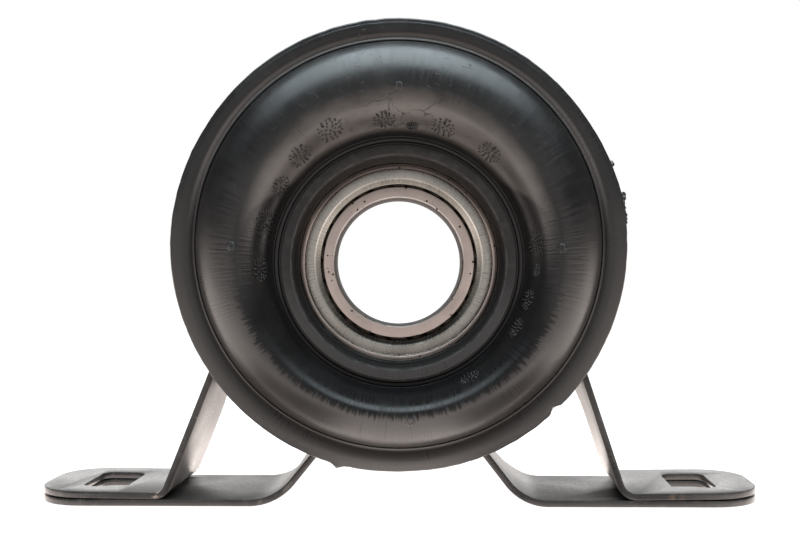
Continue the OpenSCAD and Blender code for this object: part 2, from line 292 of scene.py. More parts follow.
class Shader(Nodes):
    """A material round a Principled BSDF, with its places and scales in millimetres."""

    def __init__(self, name, **values):
        self.material = bpy.data.materials.new(name)
        self.material.use_nodes = True
        super().__init__(self.material.node_tree)
        self.surface = self.tree.nodes["Principled BSDF"]
        for socket, value in values.items():
            self.surface.inputs[socket.replace("_", " ")].default_value = value
        scaled = self.add("ShaderNodeVectorMath", operation="SCALE")
        self.put(scaled.inputs["Vector"], self.add("ShaderNodeTexCoord").outputs["Object"])
        self.put(scaled.inputs["Scale"], 1 / MM)
        self.point = scaled.outputs["Vector"]

    def noise(self, scale, detail=2.0, vector=None, rough=0.5):
        made = self.add("ShaderNodeTexNoise")
        self.put(made.inputs["Vector"], vector or self.point)
        self.put(made.inputs["Scale"], scale)
        self.put(made.inputs["Detail"], detail)
        self.put(made.inputs["Roughness"], rough)
        return made.outputs[0]

    def voronoi(self, scale, feature="F1", vector=None):
        made = self.add("ShaderNodeTexVoronoi", feature=feature)
        self.put(made.inputs["Vector"], vector or self.point)
        self.put(made.inputs["Scale"], scale)
        return made.outputs["Distance"]

    def mottle(self, value, a, b):
        """Two colours in clouds."""
        return self.mix(self.ramp(value, 0.35, 0.7), a, b)

    def uneven(self, value, low, high):
        """Noise brought into a range of its own."""
        return self.ramp(value, 0.3, 0.7, low, high)

    def mix(self, factor, a, b):
        made = self.add("ShaderNodeMix", data_type="RGBA")
        self.put_all((made.inputs[0], made.inputs[6], made.inputs[7]), factor, a, b)
        return made.outputs[2]

    def layers(self, colour, *laid):
        """Colour with others laid over it, each by a mask of its own."""
        for mask, over in laid:
            colour = self.mix(mask, colour, over)
        return colour

    def bumps(self, *laid):
        """Normal from heights laid over each other, each with its depth and strength."""
        normal = None
        for height, depth, strength in laid:
            made = self.add("ShaderNodeBump")
            self.put(made.inputs["Height"], height)
            self.put(made.inputs["Distance"], depth * MM)
            self.put(made.inputs["Strength"], strength)
            if normal:
                self.put(made.inputs["Normal"], normal)
            normal = made.outputs[0]
        return normal

    def spot(self, centre, low, high):
        """1 inside a distance from a point, 0 outside a larger one."""
        made = self.add("ShaderNodeVectorMath", operation="DISTANCE")
        self.put_all(made.inputs, self.point, centre)
        return self.fall(made.outputs["Value"], low, high)

    def finish(self, colour, rough, normal, **others):
        self.put(self.surface.inputs["Base Color"], colour)
        self.put(self.surface.inputs["Roughness"], rough)
        self.put(self.surface.inputs["Normal"], normal)
        for socket, value in others.items():
            self.put(self.surface.inputs[socket.replace("_", " ")], value)
        return self.material


class RingShader(Shader):
    """A material of a piece round the bore: radius, direction (right and up run from -1 to 1) and depth y."""

    def __init__(self, name, **values):
        super().__init__(name, **values)
        x, self.y, z = self.split(self.point)
        self.radius = self.math("SQRT", self.sum(self.product(x, x), self.product(z, z)))
        self.right = self.math("DIVIDE", x, self.radius)
        self.up = self.math("DIVIDE", z, self.radius)

    def turned_noise(self, across, along, detail, rough=0.5, place=None):
        """Noise with its own scales round the bore and along the radius or another place."""
        vector = self.vector(self.product(self.right, across), self.product(self.up, across),
                             self.product(place or self.radius, along))
        return self.noise(1, detail, vector, rough)


# Rubber

def hairline_cracks(s, front):
    """Cracks over the top of the inner flank, longer round the ring than across it."""
    drift = s.noise(0.33, 4)
    cell = s.voronoi(1, "DISTANCE_TO_EDGE", s.vector(
        s.sum(s.product(s.right, 4.6), drift), s.product(s.up, 4.6), s.sum(s.product(s.radius, 0.25), drift)))
    return s.product(s.fall(cell, 0.0, 0.022), s.ramp(s.up, 0.80, 0.90), front,
                     s.band(s.radius, HUB_R + 2.5, CREST_R + 3.1, 2), s.ramp(s.noise(0.11, 2), 0.46, 0.58))


def radial_splits(s, front):
    """Three splits across the bottom of the crest."""
    wander = s.sum(s.right, s.uneven(s.noise(0.4, 3), -0.003, 0.003))
    lines = [s.band(wander, c - 0.0004, c + 0.0004, 0.0008) for c in (-0.222, -0.073, 0.078)]
    return s.product(s.most(*lines), front, s.band(s.radius, CREST_R - 0.9, CREST_R + 2.1, 1),
                     s.fall(s.up, -0.9, -0.8))


def bloom_and_painted_reflection(s, front, cloud, crest_r):
    """Brown on the upper inner flank, partly bloom and partly a painted reflection of the warm floor, down to
    the hub only near the top, with an uneven outer edge.
    """
    from_hub = s.minus(s.radius, s.ramp(s.up, 0.20, 0.65, HUB_R + 5.6, HUB_R + 0.1))
    outer = s.sum(crest_r, s.uneven(s.noise(0.26, 4), -0.4, 0.4), s.ramp(s.right, 0.2, 0.9, 0.0, 1.1))
    return s.product(s.ramp(s.up, 0.05, 0.65), s.ramp(from_hub, 0.0, 1.2), front,
                     s.fall(outer, CREST_R - 3.9, CREST_R + 0.4), s.ramp(cloud, 0.25, 0.6, 0.6, 1.0))


def flank_dust(s, front, crest_r, ragged_r):
    """Dust over the outer flank of the lower half, with an uneven edge along the crest."""
    return s.product(front, s.ramp(ragged_r, CREST_R + 0.2, CREST_R + 0.8),
                     s.ramp(crest_r, CREST_R + 0.6, CREST_R + 5.6, 0.4, 0.8),
                     s.fall(s.up, 0.0, 0.4), s.ramp(s.up, -0.4, 0.0, 1.0, 0.6))


def bead_dust(s, front):
    """Dust on the inner slope of the bead over the top."""
    ring_r = s.minus(s.radius, s.product(s.up, RING_LIFT))
    return s.product(front, s.band(ring_r, ROLL_R + 0.6, ROLL_R + 1.4, 0.7), s.ramp(s.up, 0.1, 0.5))


def rubber_colour(s, front, cloud, fine, mouth, crest_r, ragged_r):
    """Black rubber under dust, bloom and the scuffs of the lip, with painted reflections over the upper inner
    flank and deep in the mouth and a painted highlight along the mouth's edge.
    """
    dust = s.product(s.ramp(cloud, 0.45, 0.75), s.ramp(fine, 0.35, 0.7))
    # Painted reflection of the bearing on the mouth's wall, lighter deeper in and towards the top
    painted_mouth_reflection = s.product(mouth, s.ramp(s.y, MOUTH_Y + 2.5, MOUTH_Y + 8.5), s.ramp(s.up, -0.1, 0.6, 0.3, 1.0))
    on_lip = s.band(s.radius, MOUTH_R + 0.3, LIP_R + 0.1, 0.1)
    scuff = s.product(on_lip, s.ramp(s.noise(0.42, 5, None, 0.65), 0.47, 0.66))
    lip_dust = s.product(on_lip, s.fall(s.up, -0.6, 0.0))
    # Painted highlight along the rounded edge of the mouth
    painted_lip_highlight = s.product(s.band(s.radius, MOUTH_R, MOUTH_R + 0.3, 0.1), s.fall(s.y, MOUTH_Y + 2, MOUTH_Y + 3),
                         s.ramp(s.noise(0.5, 4), 0.25, 0.60))
    return s.layers(
        (0.0075, 0.0072, 0.0075, 1),
        (dust, (0.016, 0.0145, 0.0135, 1)),
        (flank_dust(s, front, crest_r, ragged_r), (0.033, 0.0305, 0.0292, 1)),
        # Partly bloom, partly a painted reflection of the warm floor
        (bloom_and_painted_reflection(s, front, cloud, crest_r), (0.082, 0.075, 0.070, 1)),
        (bead_dust(s, front), (0.075, 0.069, 0.066, 1)),
        (painted_mouth_reflection, (0.028, 0.025, 0.023, 1)),
        (scuff, (0.024, 0.0225, 0.0225, 1)),
        (lip_dust, (0.034, 0.032, 0.032, 1)),
        (painted_lip_highlight, (0.048, 0.0455, 0.0455, 1)))


def rubber_roughness(s, front, cloud, streak, mouth, dashes):
    """Dull gloss, matt inside the mouth, uneven where old grease lies at the bottom of the inner flank."""
    greasy = s.product(s.fall(s.up, -0.75, -0.35), s.band(s.radius, HUB_R + 1.5, HUB_R + 5, 1), front)
    return s.sum(s.uneven(cloud, 0.29, 0.38), s.ramp(streak, 0.35, 0.75, -0.03, 0.06), s.product(mouth, 0.4),
                 s.product(dashes, 0.15), s.product(greasy, s.uneven(streak, -0.04, 0.10)))


def rubber_material():
    """Aged rubber: dusty and cracked on the front of the roll, with painted reflections on its upper inner
    flank and in the mouth, scuffed on the lip, matt inside the mouth.
    """
    s = RingShader("aged_rubber", IOR=1.52)
    cloud, fine = s.noise(0.09, 4), s.noise(0.9, 3)
    front = s.fall(s.y, MOUTH_Y + 1, MOUTH_Y + 2)
    mouth = s.fall(s.radius, MOUTH_R + 0.1, MOUTH_R + 0.4)
    # Wear along the crest follows a radius about a centre between those of the bore and the ring
    crest_r = s.minus(s.radius, s.product(s.up, 2.6))
    ragged_r = s.sum(crest_r, s.uneven(s.turned_noise(70, 0.09, 4), -1.0, 1.0))
    # Fine ridges run across the crest at the sides, mould lines and small dashes round the bore
    streak = s.turned_noise(75, 0.12, 3)
    ridges = s.product(streak, s.band(s.up, -0.25, 0.45, 0.25),
                       s.band(s.radius, CREST_R - 3.4, CREST_R + 3.6, 3))
    lines = s.turned_noise(2, 2.6, 2)
    dashes = s.product(s.ramp(s.turned_noise(24, 3.6, 2), 0.69, 0.76), s.ramp(s.up, 0.55, 0.85), front)
    cracks = s.most(hairline_cracks(s, front), radial_splits(s, front))
    colour = rubber_colour(s, front, cloud, fine, mouth, crest_r, ragged_r)
    rough = rubber_roughness(s, front, cloud, streak, mouth, dashes)
    # The mouth and the lower inner flank are less glossy
    inside = s.product(front, s.fall(ragged_r, CREST_R - 0.1, CREST_R + 0.6), s.fall(s.up, -0.45, -0.1),
                       s.ramp(s.radius, LIP_R + 0.1, LIP_R + 0.5))
    specular = s.minus(0.5, s.product(s.sum(mouth, inside), 0.27))
    normal = s.bumps((fine, 0.02, 0.5), (ridges, 0.10, 0.7), (lines, 0.02, 0.3),
                     (s.most(cracks, dashes), -0.08, 0.7))
    cracked = s.mix(cracks, colour, (0.004, 0.004, 0.004, 1))
    return s.finish(cracked, rough, normal, Specular_IOR_Level=specular)


def mark_material():
    """Cleaner, glossier rubber of the raised marks."""
    s = Shader("glossy_rubber", IOR=1.52)
    fine = s.noise(1.6, 3)
    colour = s.mix(s.ramp(fine, 0.4, 0.7), (0.005, 0.005, 0.0055, 1), (0.012, 0.011, 0.011, 1))
    return s.finish(colour, s.uneven(fine, 0.14, 0.24), s.bumps((fine, 0.02, 0.5)))


# Coating of the straps

RUST_SPOT = (63.6, -STRAP_Y, FOOT_TOP_Z + 0.9)
BARE_SPOT = (-55.2, -STRAP_Y, FOOT_TOP_Z + 1.5)


def coating_colour(s, cloud, grain, z):
    """Black coating with dust, worn edges, specks, a rusty spot and painted light on the inner faces of the
    legs.
    """
    geometry = s.add("ShaderNodeNewGeometry").outputs
    edge = s.product(s.ramp(geometry["Pointiness"], 0.52, 0.6), s.ramp(grain, 0.45, 0.65))
    speck = s.product(s.fall(s.voronoi(0.7), 0.05, 0.12), s.ramp(s.noise(0.3), 0.56, 0.62))
    rust = s.product(s.spot(RUST_SPOT, 0.6, 2.4), s.ramp(z, FOOT_TOP_Z, FOOT_TOP_Z + 0.2),
                     s.ramp(grain, 0.4, 0.6))
    # Painted light: the inner faces of the legs, which look partly downward, are made lighter above the feet
    downward = s.split(geometry["Normal"])["Z"]
    painted_leg_light = s.product(s.band(downward, -0.48, -0.26, 0.06), s.ramp(z, FOOT_TOP_Z + 0.8, FOOT_TOP_Z + 1.8))
    return s.layers(
        s.mottle(cloud, (0.020, 0.019, 0.019, 1), (0.034, 0.031, 0.030, 1)),
        (s.ramp(grain, 0.55, 0.8, 0.0, 0.35), (0.12, 0.105, 0.095, 1)),
        (s.product(edge, 0.5), (0.16, 0.145, 0.135, 1)),
        (speck, (0.32, 0.30, 0.28, 1)),
        (s.product(rust, 0.7), (0.13, 0.085, 0.06, 1)),
        (painted_leg_light, (0.17, 0.160, 0.152, 1)))


def paint_material():
    """Thin black coating, rubbed through to the steel at one bend."""
    s = Shader("worn_black_coating", IOR=1.5)
    cloud, fine, grain = s.noise(0.06, 4), s.noise(1.5, 3), s.noise(0.42, 4)
    x, y, z = s.split(s.point)
    bare = s.product(s.spot(BARE_SPOT, 0.5, 1.6), s.ramp(z, FOOT_TOP_Z, FOOT_TOP_Z + 0.2),
                     s.ramp(s.noise(0.9, 3), 0.42, 0.58))
    # The lower strap is duller where it shows between the feet
    dull = s.product(s.fall(s.magnitude(x), 46, 56), s.fall(z, FOOT_TOP_Z - 0.2, FOOT_TOP_Z + 0.8))
    colour = s.mix(bare, coating_colour(s, cloud, grain, z), (0.55, 0.45, 0.39, 1))
    rough = s.sum(s.uneven(cloud, 0.26, 0.36), s.uneven(fine, -0.03, 0.05), s.product(dull, 0.14))
    normal = s.bumps((fine, 0.03, 0.5), (s.noise(0.055, 2), 0.3, 0.25))
    return s.finish(colour, rough, normal, Metallic=bare)


# Steel of the bearing

def ground_steel_material():
    """Ground rings with turning lines and pits, with grime and painted shade in the corner of the mouth, and
    oiled in the bore.
    """
    s = RingShader("ground_ring_steel", Metallic=1.0)
    turning = s.turned_noise(3, 5.2, 3, place=s.sum(s.radius, s.y))
    cloud = s.noise(0.14, 4)
    pit = s.product(s.fall(s.voronoi(0.56), 0.10, 0.17), s.ramp(s.noise(0.21, 1), 0.37, 0.42))
    # Grime and painted shade in the corner between the outer ring and the mouth, thickest at the top where
    # the mouth's wall shades it
    grime_and_shade_weight = s.most(s.ramp(s.radius, BEARING_R - 1.1, BEARING_R + 0.1, 0.05, 0.85),
                   s.ramp(s.up, 0.1, 0.8, 0.0, 0.8))
    grime_and_shade = s.product(grime_and_shade_weight, s.ramp(s.radius, BEARING_R - 2, BEARING_R - 1.6))
    # Painted highlight along the outer edge of the bore's chamfer, over the upper half and the sides
    chamfer_r = BORE_R + BORE_CHAMFER
    painted_chamfer_highlight = s.product(s.band(s.radius, chamfer_r, chamfer_r + 0.17, 0.08), s.ramp(s.up, -0.1, 0.4))
    oiled = s.fall(s.radius, BORE_R + 0.06, BORE_R + 0.12)
    colour = s.layers(
        s.mottle(cloud, (0.54, 0.466, 0.434, 1), (0.64, 0.552, 0.513, 1)),
        (s.ramp(turning, 0.35, 0.75, 0.0, 0.45), (0.47, 0.41, 0.384, 1)),
        (grime_and_shade, (0.05, 0.042, 0.038, 1)),
        (painted_chamfer_highlight, (0.90, 0.85, 0.82, 1)),
        (pit, (0.03, 0.028, 0.027, 1)),
        (oiled, (0.11, 0.102, 0.098, 1)))
    rough = s.sum(s.uneven(cloud, 0.30, 0.40), s.uneven(turning, -0.04, 0.06), s.product(oiled, 0.3))
    normal = s.bumps((turning, 0.012, 0.5), (pit, -0.12, 0.8))
    return s.finish(colour, rough, normal, Metallic=s.minus(1.0, oiled),
                    Specular_IOR_Level=s.minus(0.5, s.product(oiled, 0.45)))


def shield_material():
    """Pressed shield with radial scratches; its cone is darker between a lighter inner edge and a lighter
    band at the shoulder, with painted shade over its bottom.
    """
    s = RingShader("pressed_shield_steel", Metallic=1.0)
    radial = s.turned_noise(85, 0.3, 4, 0.6)
    turning = s.turned_noise(2, 4.2, 2)
    cloud = s.noise(0.16, 3)
    # Painted shade over the bottom of the cone
    painted_cone_shade = s.product(s.fall(s.radius, 19.4, 19.7), s.ramp(s.up, -0.9, -0.3, 0.95, 0.0))
    # Lighter bands along the inner edge, apart from at the bottom, and just inside the shoulder
    light_edge_bands = s.most(s.product(s.band(s.radius, 18.2, 18.45, 0.1), s.ramp(s.up, -0.7, -0.3)),
                    s.band(s.radius, 19.75, 19.95, 0.1))
    colour = s.layers(
        s.mottle(cloud, (0.42, 0.406, 0.381, 1), (0.52, 0.503, 0.471, 1)),
        (s.ramp(radial, 0.5, 0.72, 0.0, 0.25), (0.17, 0.163, 0.147, 1)),
        (s.ramp(s.radius, 19.5, 19.8, 0.8, 0.0), (0.29, 0.277, 0.248, 1)),
        (painted_cone_shade, (0.035, 0.028, 0.024, 1)),
        (light_edge_bands, (0.62, 0.595, 0.545, 1)))
    rough = s.sum(s.uneven(cloud, 0.24, 0.33), s.ramp(radial, 0.4, 0.7, -0.04, 0.08))
    return s.finish(colour, rough, s.bumps((radial, 0.02, 0.3), (turning, 0.01, 0.4)))


def plain_steel_material(name, colour, rough):
    """Drawn or pressed steel with faint mottling and fine scratches."""
    s = Shader(name, Metallic=1.0)
    cloud, scratch = s.noise(0.22, 4), s.noise(1.8, 3)
    dark = tuple(c * 0.72 for c in colour)
    tone = s.mottle(cloud, dark + (1,), colour + (1,))
    mottled = s.sum(s.uneven(cloud, rough - 0.05, rough + 0.05), s.uneven(scratch, -0.02, 0.04))
    return s.finish(tone, mottled, s.bumps((scratch, 0.01, 0.5)))


RUBBER = rubber_material()
MARK_RUBBER = mark_material()
PAINT = paint_material()
RING_STEEL = ground_steel_material()
SHIELD_STEEL = shield_material()
SLEEVE_STEEL = plain_steel_material("drawn_sleeve_steel", (0.34, 0.33, 0.32), 0.42)
CAGE_STEEL = plain_steel_material("greased_cage_steel", (0.22, 0.19, 0.15), 0.45)
BALL_STEEL = plain_steel_material("greased_ball_steel", (0.30, 0.28, 0.25), 0.30)


def set_material(obj, material):
    obj.data.materials.clear()
    obj.data.materials.append(material)


def dress(obj, material, slot, body, *nodes):
    """Gives a piece its material, its body and the CAD nodes it replaces; the slot is not used."""
    set_material(obj, material)
    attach(obj, body)
    if nodes:
        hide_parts(*nodes)


# Section of the rubber cushion

FLANK_STEPS = 34


def flank(width, height, start, stop):
    """Side of the roll as part of an ellipse about its crest."""
    half = (width / math.cos(EDGE_ANGLE), height / (1 - math.sin(EDGE_ANGLE)))
    return arc((CREST_R, CREST_Y + half[1]), half, start, stop, FLANK_STEPS)


INNER_FLANK = flank(CREST_R - HUB_R, MOUTH_Y - CREST_Y, 200, 270)
OUTER_FLANK = flank(ROLL_R - CREST_R, RIM_Y - CREST_Y, 270, 350)


def lip_section():
    """Lip of the mouth, the groove beside it and the recessed trim below the inner flank."""
    groove_y, trim_y = MOUTH_Y + 1.5, MOUTH_Y + 0.75
    return [
        (MOUTH_R, MOUTH_Y, 0.35), (LIP_R, MOUTH_Y, 0.22),
        (LIP_R + 0.05, groove_y, 0.1), (GROOVE_R - 0.05, groove_y, 0.1),
        (GROOVE_R + 0.05, trim_y, 0.15), (HUB_R - 0.75, trim_y, 0.2), (HUB_R - 0.3, MOUTH_Y + 1.0, 0.15)]


def bead_section():
    """Ledge at the foot of the roll, then the bead, round inside and flat outside, and the rim's edge."""
    bead_r, round_r, flat_r, edge = ROLL_R + 3.3, 4.5, 13.4, 0.4
    return (
        [(ROLL_R + 0.08, RIM_Y - 0.30, 0.08), (ROLL_R + 0.48, RIM_Y - 0.23, 0.08)]
        + [(ROLL_R + 0.68, RIM_Y + 0.5, 0.1)]
        + circle_arc((bead_r, RIM_Y + round_r), round_r, 238, 270, 14)
        + circle_arc((bead_r, RIM_Y + flat_r), flat_r, 270.5, 278, 8)
        + circle_arc((RIM_R - edge, RIM_Y + 0.13 + edge), edge, -80, 0, 6))


def seat_section():
    """Seat of the straps between the two rims."""
    seat_y = STRAP_Y + GAP
    return [(RIM_R, -STRAP_Y - 2), (RIM_R, -seat_y, 0.3), (STRAP_SEAT_R, -seat_y),
            (STRAP_SEAT_R, seat_y), (RIM_R, seat_y, 0.3)]


def rear_section():
    """Rear rim, the channel behind the roll and the rear of the hub."""
    rear_y = REAR_Y - RIM_EDGE
    return (
        circle_arc((RIM_R - RIM_EDGE, rear_y), RIM_EDGE, 0, 90, 5)
        + circle_arc((CHANNEL_R + RIM_EDGE, rear_y), RIM_EDGE, 90, 180, 5)
        + arc((CREST_R, CHANNEL_Y), (CHANNEL_R - CREST_R, CHANNEL_ARCH), 0, -90, 14)
        + arc((CREST_R, CHANNEL_Y), (CREST_R - HUB_OUT_R, CHANNEL_ARCH), -90, -180, 14)[1:]
        + circle_arc((HUB_OUT_R - RIM_EDGE, SLEEVE_REAR_Y - RIM_EDGE), RIM_EDGE, 0, 90, 5))


def hub_section():
    """Bore for the sleeve, and the floor of the mouth in front of it."""
    front_y, floor_y = SLEEVE_FRONT_Y - GAP, SLEEVE_FRONT_Y - MOUTH_FLOOR
    return [(HUB_BORE_R, SLEEVE_REAR_Y), (HUB_BORE_R, front_y), (SLEEVE_IN_R, front_y),
            (SLEEVE_IN_R, floor_y, 0.2), (MOUTH_R, floor_y, 0.5)]


CUSHION_SECTION = rounded(
    lip_section() + INNER_FLANK + OUTER_FLANK[1:-1] + [OUTER_FLANK[-1] + (0.15,)]
    + bead_section() + seat_section() + rear_section() + hub_section())

# Damage of the front rim, with its places in degrees round the ring
FLASH_FROM, FLASH_TO = 5.2, 10.8
NUB_AT = 254.6
FLAT_AT = 272
NOTCH_AT = 313.6
FINE_SPANS = ((3, 13), (250, 259), (309, 319))
TRIM_R = ROLL_R + 4.05
TRIM_BLEND = 0.8


def lift(r):
    """Rise of the ring above the bore, which grows from the hub to the rim."""
    return RING_LIFT * math.sin(math.pi / 2 * clamped((r - HUB_R) / (ROLL_R - HUB_R)))


def swell(degrees, centre, width):
    """Bell curve round the rim."""
    away = (degrees - centre + 180) % 360 - 180
    return math.exp(-(away / width) ** 2)


def rim_offset(y, degrees):
    """Moulding flash, a torn notch and the uneven trim of the front rim."""
    front = clamped((-STRAP_Y - 0.6 - y) / 2.4)
    ragged = noise.noise(Vector((degrees * 1.9, y * 0.8, 3.1)))
    offset = 0.10 * noise.noise(Vector((degrees * 0.35, y * 0.1, 0.0))) + 0.05 * ragged
    if FLASH_FROM < degrees < FLASH_TO:
        offset += 0.28 + 0.22 * ragged
    offset += 0.70 * swell(degrees, NUB_AT, 1.3)
    offset -= 0.30 * swell(degrees, FLAT_AT, 11)
    offset -= 0.85 * swell(degrees, NOTCH_AT, 1.25) * (1 + 0.5 * ragged)
    offset -= 0.55 * clamped((degrees - 12) / 20) * clamped((180 - degrees) / 32)
    return offset * front


def cushion_point(r, y, angle):
    if r > TRIM_R and y < -STRAP_Y:
        r += rim_offset(y, math.degrees(angle)) * min(1, (r - TRIM_R) / TRIM_BLEND)
    return (r * math.cos(angle), y, r * math.sin(angle) + lift(r))


def cushion_angles():
    """Even turns, closer together where the rim is damaged."""
    turns = {round(k * 1.2, 3) for k in range(300)}
    for start, stop in FINE_SPANS:
        turns |= {round(start + k * 0.2, 3) for k in range(int((stop - start) / 0.2))}
    return [math.radians(t) for t in sorted(turns)]


# Raised marks on the rubber

# Angle, place along the roll (0 at the hub, 1 at the crest, 2 at the rim) and radius of each
DOT_MARKS = [
    (118.5, 0.50, 2.8), (134.5, 0.44, 2.6), (148.5, 0.36, 2.3), (164.5, 0.36, 2.6), (184.5, 0.36, 2.5),
    (96.0, 0.38, 2.3), (84.5, 0.26, 1.2), (71.5, 0.36, 2.6), (49.5, 0.38, 2.5), (6.5, 0.34, 2.5),
    (355.5, 0.36, 1.2), (343.0, 0.26, 2.2), (330.0, 0.28, 2.1), (301.0, 0.34, 2.2),
]
DOT_RINGS = ((1.0, 15), (0.72, 11), (0.42, 7), (0.0, 1))
GATE_MARKS = [(179.0, 1.02), (1.0, 0.94), (90.0, 0.96), (274.0, 1.12)]
GATE_DOTS = 7
# Angle, size and depth of the lumps of flash on the rim
FLASH_LUMPS = ((20.8, 0.75, -18.6), (12.2, 1.15, -18.4), (11.2, 0.8, -18.8), (NUB_AT, 0.6, -18.6))


def roll_point(degrees, along):
    """Point on the front of the roll, along as for the marks."""
    points, t = (INNER_FLANK, along) if along <= 1 else (OUTER_FLANK, along - 1)
    k = min(FLANK_STEPS - 1, int(t * FLANK_STEPS))
    f = t * FLANK_STEPS - k
    r, y = ((1 - f) * p + f * q for p, q in zip(points[k], points[k + 1]))
    return Vector(cushion_point(r, y, math.radians(degrees)))


def roll_frame(degrees, along):
    """Place on the front of the roll with its Z axis out of the rubber."""
    u = (roll_point(degrees + 0.5, along) - roll_point(degrees - 0.5, along)).normalized()
    v = (roll_point(degrees, along + 0.02) - roll_point(degrees, along - 0.02)).normalized()
    n = u.cross(v).normalized()
    if n.y > 0:
        n = -n
    turn = Matrix((u, n.cross(u), n)).transposed().to_4x4()
    return Matrix.Translation(roll_point(degrees, along)) @ turn


def add_lump(bm, place, size, rng, uneven=0.25, level=2):
    """Small uneven blob, mostly sunk in the surface it stands on."""
    made = bmesh.ops.create_icosphere(bm, subdivisions=level, radius=1)["verts"]
    seed = Vector((rng.uniform(0, 90), rng.uniform(0, 90), 0))
    for vert in made:
        vert.co *= 1 + uneven * noise.noise(vert.co * 1.3 + seed)
        vert.co = (place @ Vector([c * s for c, s in zip(vert.co, size)])) * MM


def lumps_object(name, build):
    bm = bmesh.new()
    build(bm)
    mesh = bpy.data.meshes.new(name)
    bm.to_mesh(mesh)
    bm.free()
    obj = add_object(name, mesh)
    smooth(obj, 60)
    return obj


def polar_shift(reach, angle, height):
    return Matrix.Translation((reach * math.cos(angle), reach * math.sin(angle), height))


def build_dot_marks(bm):
    """Round clusters of small dots."""
    rng = random.Random(7)
    for degrees, along, radius in DOT_MARKS:
        base = roll_frame(degrees, along)
        turn = rng.uniform(0, 1)
        for ring, count in DOT_RINGS:
            for k in range(count):
                a = 2 * math.pi * (k + turn + rng.uniform(-0.2, 0.2)) / count
                shift = polar_shift(radius * (ring + rng.uniform(-0.08, 0.08)), a, -0.03)
                s = rng.uniform(0.19, 0.30)
                twist = Matrix.Rotation(a + rng.uniform(-0.7, 0.7), 4, "Z")
                size = (s * 1.35, s * 0.8, rng.uniform(0.2, 0.34))
                add_lump(bm, base @ shift @ twist, size, rng)


def build_gate_marks(bm):
    """Low round buttons with a ring of dots."""
    rng = random.Random(3)
    for degrees, along in GATE_MARKS:
        base = roll_frame(degrees, along)
        add_lump(bm, base, (1.05, 1.05, 0.16), rng, 0.1, 3)
        for k in range(GATE_DOTS):
            shift = polar_shift(0.62, 2 * math.pi * k / GATE_DOTS, 0.08)
            add_lump(bm, base @ shift, (0.26, 0.22, 0.14), rng, 0.4)


def build_flash(bm):
    """Torn lumps on the edge of the rim."""
    rng = random.Random(11)
    for degrees, size, y in FLASH_LUMPS:
        angle = math.radians(degrees)
        point = Vector(cushion_point(RIM_R + 0.1, y, angle))
        place = Matrix.Translation(point) @ Matrix.Rotation(-angle, 4, "Y")
        add_lump(bm, place, (size * 0.85, size, size), rng, 0.55, 3)


cushion = loft("rubber_cushion_moulding", CUSHION_SECTION, cushion_angles(), cushion_point, 40)
dress(cushion, RUBBER, "rubber", "housing", "rubber_cushion")
dress(lumps_object("rubber_dot_marks", build_dot_marks), MARK_RUBBER, "rubber", "housing")
dress(lumps_object("rubber_gate_marks", build_gate_marks), RUBBER, "rubber", "housing")
dress(lumps_object("rubber_rim_flash", build_flash), RUBBER, "rubber", "housing")


# Straps

LEG_STEPS = 8
STRAP_SKEW = 0.05
BEND_FACET = 1.5
STRAP_BEVEL = 0.2


def stations(steps, point):
    """Points and headings on the lower face of a bent sheet; steps are [length] or [inside radius, turn]."""
    p, h, out = Vector(point), 0.0, []
    for step in steps:
        if len(step) == 1:
            out.append((p.copy(), h))
            p = p + step[0] * Vector((math.cos(h), math.sin(h)))
            continue
        turn = math.radians(step[1])
        centre = p + Vector((-math.sin(h), math.cos(h))) * (SHEET_T + step[0] if turn > 0 else -step[0])
        count = math.ceil(abs(step[1]) / BEND_FACET)
        for k in range(count):
            part = turn * k / count
            out.append((centre + Matrix.Rotation(part, 2) @ (p - centre), h + part))
        p = centre + Matrix.Rotation(turn, 2) @ (p - centre)
        h += turn
    out.append((p, h))
    return out


def upper_side(wrap, lean, foot_bend, leg_bend=5.0):
    """One half of the upper strap: over the ring, down the leg and out along the foot."""
    a, b = math.radians(wrap), math.radians(lean)
    drop = RING_LIFT - STRAP_IN_R * math.sin(a) - (FOOT_Z + SHEET_T + GAP)
    bends = (leg_bend + SHEET_T) * (math.sin(a) + math.sin(b)) + (foot_bend + SHEET_T) * (1 - math.sin(b))
    leg = (drop - bends) / math.cos(b)
    steps = [[STRAP_IN_R, -90 - wrap], [leg_bend, wrap + lean]]
    steps += [[leg / LEG_STEPS]] * LEG_STEPS
    steps += [[foot_bend, 90 - lean + FOOT_SPLAY], [FOOT_REACH]]
    return stations(steps, (0, RING_LIFT + STRAP_IN_R))


def lower_side(cradle, rise, rise_bend, cradle_bend=3.0):
    """One half of the lower strap: under the ring, down the rise and out along the foot."""
    a, b = math.radians(cradle), math.radians(rise)
    bottom = RING_LIFT - STRAP_IN_R - SHEET_T
    drop = bottom - FOOT_Z + (STRAP_IN_R + SHEET_T) * (1 - math.cos(a))
    bends = cradle_bend * (math.cos(a) - math.cos(b)) + (rise_bend + SHEET_T) * (1 - math.cos(b))
    steps = [[STRAP_IN_R, cradle], [cradle_bend, -cradle - rise], [(drop - bends) / math.sin(b)],
             [rise_bend, rise], [FOOT_REACH]]
    return stations(steps, (0, bottom))


def strap_outline(right, left):
    """Closed outline of a bent sheet from its two halves, the left one mirrored."""
    def upper(side):
        return [p + SHEET_T * Vector((-math.sin(h), math.cos(h))) for p, h in side]

    def lower(side):
        return [p for p, h in side]

    def flipped(points):
        return [Vector((-p.x, p.y)) for p in points[1:]]
    return lower(right) + upper(right)[::-1] + flipped(upper(left)) + flipped(lower(left))[::-1]


def prism(name, outline, axis, low, high):
    """Outline extruded along Y or Z."""
    def at(p, d):
        return (p[0], d, p[1]) if axis == "Y" else (p[0], p[1], d)
    count = len(outline)
    verts = [at(p, d) for d in (low, high) for p in outline]
    faces = [tuple(range(count)), tuple(range(count, 2 * count))]
    faces += [(k, (k + 1) % count, (k + 1) % count + count, k + count) for k in range(count)]
    return make_object(name, verts, faces)


